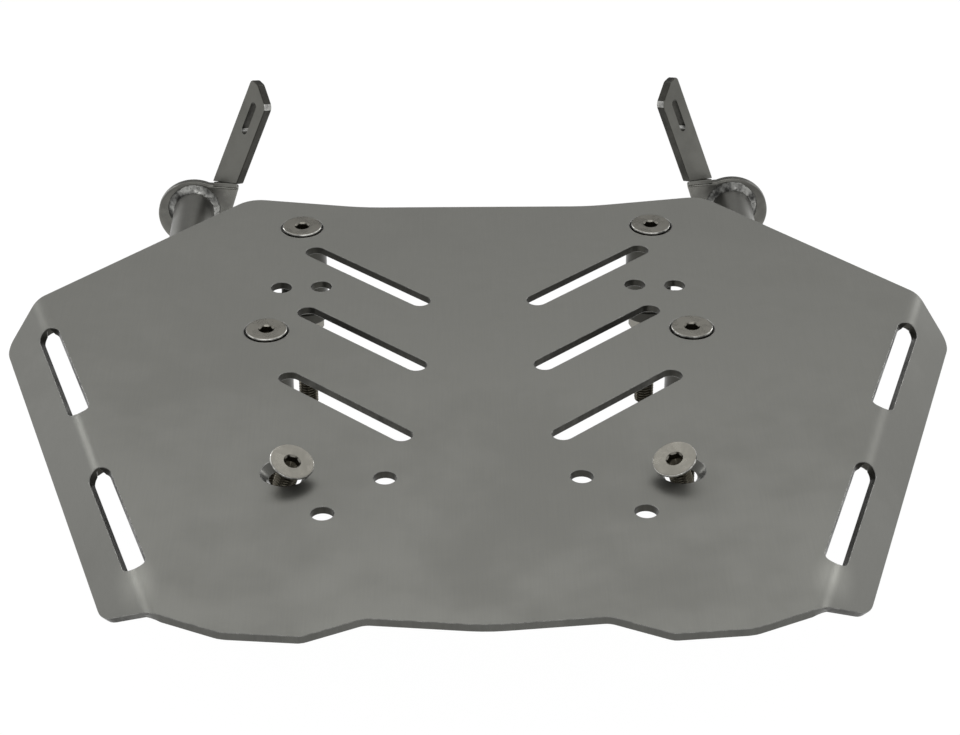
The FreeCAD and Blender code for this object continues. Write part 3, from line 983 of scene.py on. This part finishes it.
class RackWelds(bpy.types.Operator):
    """Makes the rippled weld beads on the tube ends and tabs, and finishes the ground welds on the
    arms
    """

    bl_idname = "rack.welds"
    bl_label = "Weld beads"

    def execute(self, context):
        look = context.scene.rack_welds
        rippled = metal(
            "weld_bead", look.colour, (0.18, 0.45), (500, 0.15), (90, 0.93), (0.25, 0.00006),
            stretch=(1, 1, 1),
        )
        ground = metal(
            "ground_weld", context.scene.rack_frame.plate_colour, (0.34, 0.46), (1100, 0.07),
            (60, 0.15), SATIN,
        )
        for number, (hand, side) in enumerate(SIDES.items()):
            self.ring(hand, look, rippled, 1.0 + number)
            node = f"weld_arm_{hand}"
            rounded_piece("ground_" + node, node, "weld_metal", [ground], SMALL_EDGE, 2)
            for row in ROWS:
                self.tab(row, hand, side, look, rippled, 7.0 + number)
        return {"FINISHED"}

    def ring(self, hand, look, material, seed):
        """A bead round a tube's rear end: the corner is a circle, the legs go forward and out."""
        node = f"weld_end_{hand}"
        steps, bulge = 480, 1.5
        centre, radius = tube_end(hand)
        turn = full_turn(steps)
        outward = np.stack([np.cos(turn), 0 * turn, np.sin(turn)], axis=1)
        forward = np.tile([0.0, -1.0, 0.0], (steps, 1))
        points = bead(
            np.array(centre) + radius * outward, look.ring_leg * forward, look.ring_leg * outward,
            look, True, seed, bulge,
        )
        mesh = grid_mesh(node, points, close_rows=True)
        add_piece("rippled_" + node, mesh, [node], "weld_metal", material)

    def tab(self, row, hand, side, look, material, seed):
        """A bead between a tab's end and its tube: legs up the tab and down the tube's flank."""
        node = f"weld_tab_{row}_{hand}"
        steps = 130
        low, high = (np.array(corner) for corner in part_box(node))
        inner, outer = (low[0], high[0]) if side > 0 else (high[0], low[0])
        (axis_x, _, axis_z), radius = tube_end(hand)
        corner_z = axis_z + math.sqrt(radius ** 2 - (inner - axis_x) ** 2)
        foot_z = axis_z + math.sqrt(radius ** 2 - (outer - axis_x) ** 2)
        path = np.stack([
            np.full(steps, inner), np.linspace(low[1], high[1], steps), np.full(steps, corner_z),
        ], axis=1)
        first = np.tile([0.0, 0.0, high[2] - corner_z], (steps, 1))
        second = np.tile([outer - inner, 0.0, foot_z - corner_z], (steps, 1))
        mesh = grid_mesh(node, closed_ends(bead(path, first, second, look, False, seed)))
        add_piece("rippled_" + node, mesh, [node], "weld_metal", material)


class RackStage(bpy.types.Operator):
    """Sets the floor, the surround, the lamps and the camera"""

    bl_idname = "rack.stage"
    bl_label = "Stage"

    def execute(self, context):
        look = context.scene.rack_stage
        self.floor()
        self.surround(look)
        right_power = 1.2 * look.strip
        for name, place, aim, size, power in (
            ("rear_softbox", (0.0, 1.3, 1.5), (0, 0.1, 0), (1.6, 0.9), look.key),
            ("front_softbox", (0.0, -1.4, 1.7), (0, 0, 0), (1.4, 0.8), look.fill),
            ("left_strip", (-1.41, 1.51, 0.75), (0, 0, 0), (0.25, 0.9), look.strip),
            ("right_strip", (1.41, 1.51, 0.75), (0, 0, 0), (0.25, 0.9), right_power),
        ):
            self.lamp(name, place, aim, size, power)
        lens = bpy.data.cameras.new("photo_camera")
        lens.lens = look.lens
        lens.sensor_width = 36
        camera = bpy.data.objects.new("photo_camera", lens)
        camera.location = look.camera_place
        camera.rotation_euler = look.camera_turn
        context.scene.collection.objects.link(camera)
        context.scene.camera = camera
        context.scene.view_settings.view_transform = "Standard"
        return {"FINISHED"}

    def floor(self):
        """A level floor just under the lowest point, white to the eye and to reflections."""
        gap, reach = 0.0001, 6.0
        pale, glow_strength, glow_share = 0.82, 1.03, 0.96
        level = CAD_BOX[0][2] - gap
        corners = np.array([
            [(-reach, -reach, level), (reach, -reach, level)],
            [(-reach, reach, level), (reach, reach, level)],
        ])
        mesh = grid_mesh("floor", corners, close_columns=False)
        material = bpy.data.materials.new("pale_floor")
        material.use_nodes = True
        tree = material.node_tree
        tree.nodes.remove(tree.nodes["Principled BSDF"])
        matt = put(tree, "ShaderNodeBsdfDiffuse", {"Color": (pale, pale, pale, 1)}).outputs[0]
        glow = put(
            tree, "ShaderNodeEmission", {"Color": (1, 1, 1, 1), "Strength": glow_strength},
        ).outputs[0]
        share = math_node(tree, "MULTIPLY", seen_directly(tree), glow_share)
        blend = put(tree, "ShaderNodeMixShader", {0: share, 1: matt, 2: glow}).outputs[0]
        tree.links.new(blend, tree.nodes["Material Output"].inputs["Surface"])
        mesh.materials.append(material)
        floor = bpy.data.objects.new("floor", mesh)
        bpy.context.scene.collection.objects.link(floor)

    def surround(self, look):
        """A surround that is white to the camera and, in reflections, darker low behind."""
        high_up = 0.9
        flag_direction, flag_edge, flag_core = (0, 0.966, 0.259), 0.82, 0.98
        world = bpy.data.worlds.new("surround")
        bpy.context.scene.world = world
        world.use_nodes = True
        tree = world.node_tree
        back = tree.nodes["Background"]
        rays = put(tree, "ShaderNodeLightPath", {}).outputs
        direction = put(tree, "ShaderNodeTexCoord", {}).outputs["Generated"]
        height = put(tree, "ShaderNodeSeparateXYZ", {"Vector": direction}).outputs["Z"]
        rise = between(tree, height, 0.0, high_up, look.horizon, look.sky)
        behind = vector_node(tree, "DOT_PRODUCT", direction, flag_direction)["Value"]
        shade = between(tree, behind, flag_edge, flag_core, 1.0, 1 - look.flag)
        mirrored = math_node(tree, "MULTIPLY", rise, shade)
        mixed = {0: rays["Is Glossy Ray"], 2: look.surround, 3: mirrored}
        level = put(tree, "ShaderNodeMix", mixed).outputs[0]
        clear = math_node(tree, "MAXIMUM", rays["Is Camera Ray"], rays["Is Transmission Ray"])
        strength = put(tree, "ShaderNodeMix", {0: clear, 2: level, 3: 1.0}).outputs[0]
        tree.links.new(strength, back.inputs["Strength"])
        back.inputs["Color"].default_value = (1, 1, 1, 1)

    def lamp(self, name, place, aim, size, power):
        """A rectangular lamp at a place, turned to its aim."""
        light = bpy.data.lights.new(name, "AREA")
        light.shape = "RECTANGLE"
        light.size, light.size_y = size
        light.energy = power
        lamp = bpy.data.objects.new(name, light)
        bpy.context.scene.collection.objects.link(lamp)
        lamp.location = place
        direction = lamp.location - type(lamp.location)(aim)
        lamp.rotation_euler = direction.to_track_quat("Z", "Y").to_euler()


def seen_directly(tree):
    """1 for camera, glossy and transmission rays, else 0."""
    rays = put(tree, "ShaderNodeLightPath", {}).outputs
    pair = math_node(tree, "MAXIMUM", rays["Is Camera Ray"], rays["Is Glossy Ray"])
    return math_node(tree, "MAXIMUM", pair, rays["Is Transmission Ray"])


class RackPanel(bpy.types.Panel):
    """Lists the steps that dress the rack"""

    bl_idname = "VIEW3D_PT_rack"
    bl_label = "Luggage rack"
    bl_space_type = "VIEW_3D"
    bl_region_type = "UI"
    bl_category = "Luggage rack"

    def draw(self, context):
        for step in STEPS:
            self.layout.operator(step.bl_idname)
        for group in SETTINGS:
            self.layout.label(text=group)
            look = getattr(context.scene, group)
            for key in look.bl_rna.properties.keys():
                if key not in ("rna_type", "name"):
                    self.layout.prop(look, key)


SETTINGS = {
    "rack_sheet": SheetSettings,
    "rack_screws": ScrewSettings,
    "rack_frame": FrameSettings,
    "rack_welds": WeldSettings,
    "rack_stage": StageSettings,
}
STEPS = (
    RackShaders, RackSheet, RackScrews, RackNuts, RackSpacers, RackFrame, RackWelds, RackStage,
)


def register():
    """Registers the settings, the steps and the panel."""
    for name, settings in SETTINGS.items():
        bpy.utils.register_class(settings)
        setattr(bpy.types.Scene, name, bpy.props.PointerProperty(type=settings))
    for step in STEPS:
        bpy.utils.register_class(step)
    bpy.utils.register_class(RackPanel)


def unregister():
    """Takes everything that register added away."""
    bpy.utils.unregister_class(RackPanel)
    for step in reversed(STEPS):
        bpy.utils.unregister_class(step)
    for name, settings in SETTINGS.items():
        delattr(bpy.types.Scene, name)
        bpy.utils.unregister_class(settings)


def main():
    """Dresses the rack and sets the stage."""
    register()
    bpy.ops.rack.shaders()
    bpy.ops.rack.sheet()
    bpy.ops.rack.screws()
    bpy.ops.rack.nuts()
    bpy.ops.rack.spacers()
    bpy.ops.rack.frame()
    bpy.ops.rack.welds()
    bpy.ops.rack.stage()


if __name__ == "__main__":
    main()
